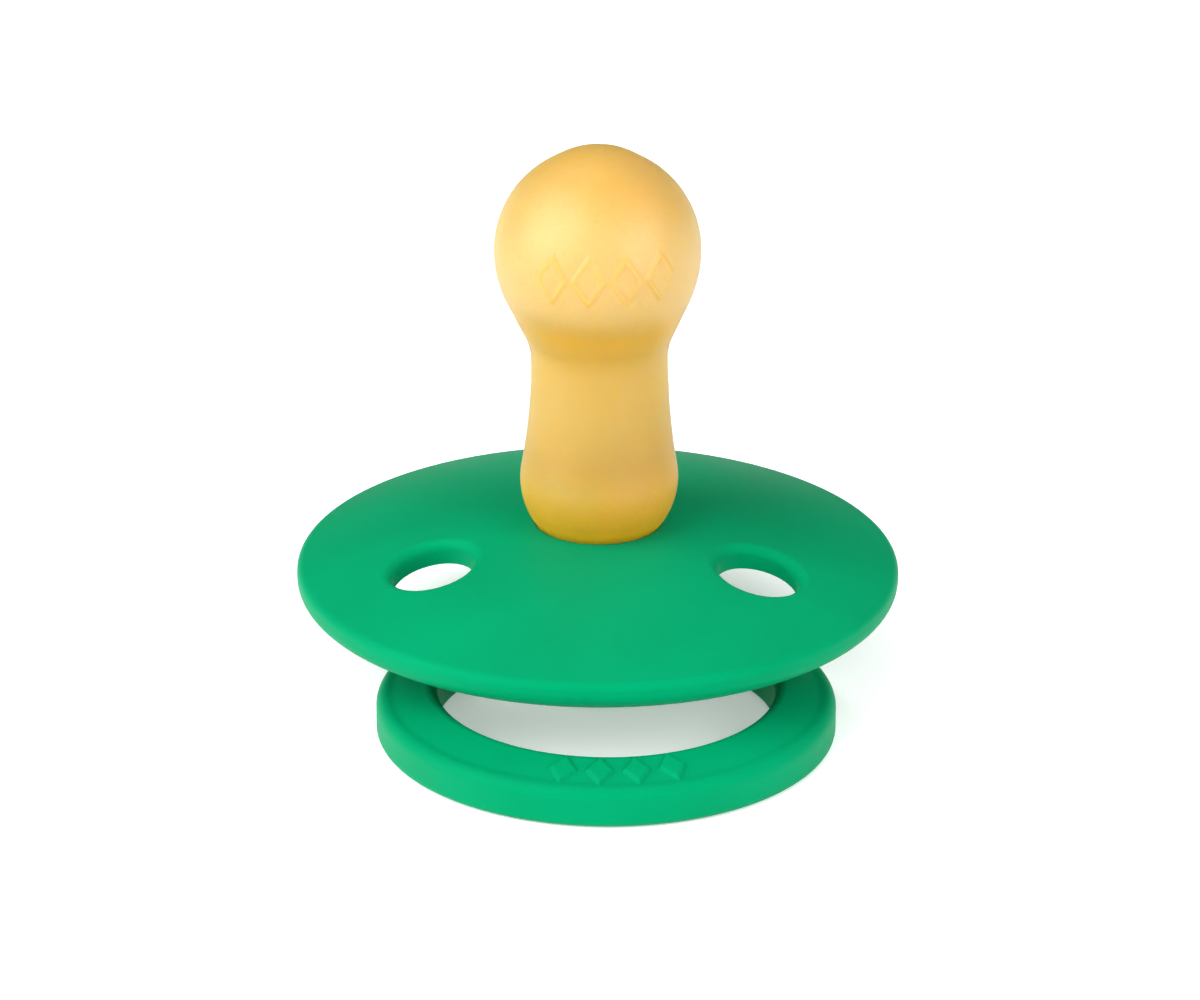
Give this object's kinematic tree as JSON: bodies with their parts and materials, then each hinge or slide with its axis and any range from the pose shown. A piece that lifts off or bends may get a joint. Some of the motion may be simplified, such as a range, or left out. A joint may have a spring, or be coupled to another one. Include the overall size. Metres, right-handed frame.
{
  "type": "pacifier",
  "caption": "Baby's pacifier: a hollow cherry-shaped rubber teat on a round domed shield with oval vent holes, and a hinged pull ring at the back.",
  "frame": {"origin": "centre of the knob's flat back face, which the pacifier stands on", "axes": "+Z along the teat towards its tip, -Y towards the ring where it lies at rest, X along the ring's hinge"},
  "size_m": [0.044, 0.0496, 0.0405],
  "materials": {
    "teat_latex": "satin, translucent amber natural latex",
    "shield_plastic": "fine satin moulded polypropylene",
    "knob_plastic": "fine satin moulded polypropylene",
    "ring_plastic": "fine satin moulded polypropylene"
  },
  "bodies": {
    "soother": {"shield": "shield_plastic", "teat": "teat_latex", "knob": "knob_plastic"},
    "pull_ring": {"ring": "ring_plastic"}
  },
  "joints": [
    {"name": "ring_hinge", "type": "hinge", "parent": "soother", "child": "pull_ring", "pos_m": [0, 0, 0.0022], "axis": [1, 0, 0], "range_deg": [-6, 184]}
  ]
}
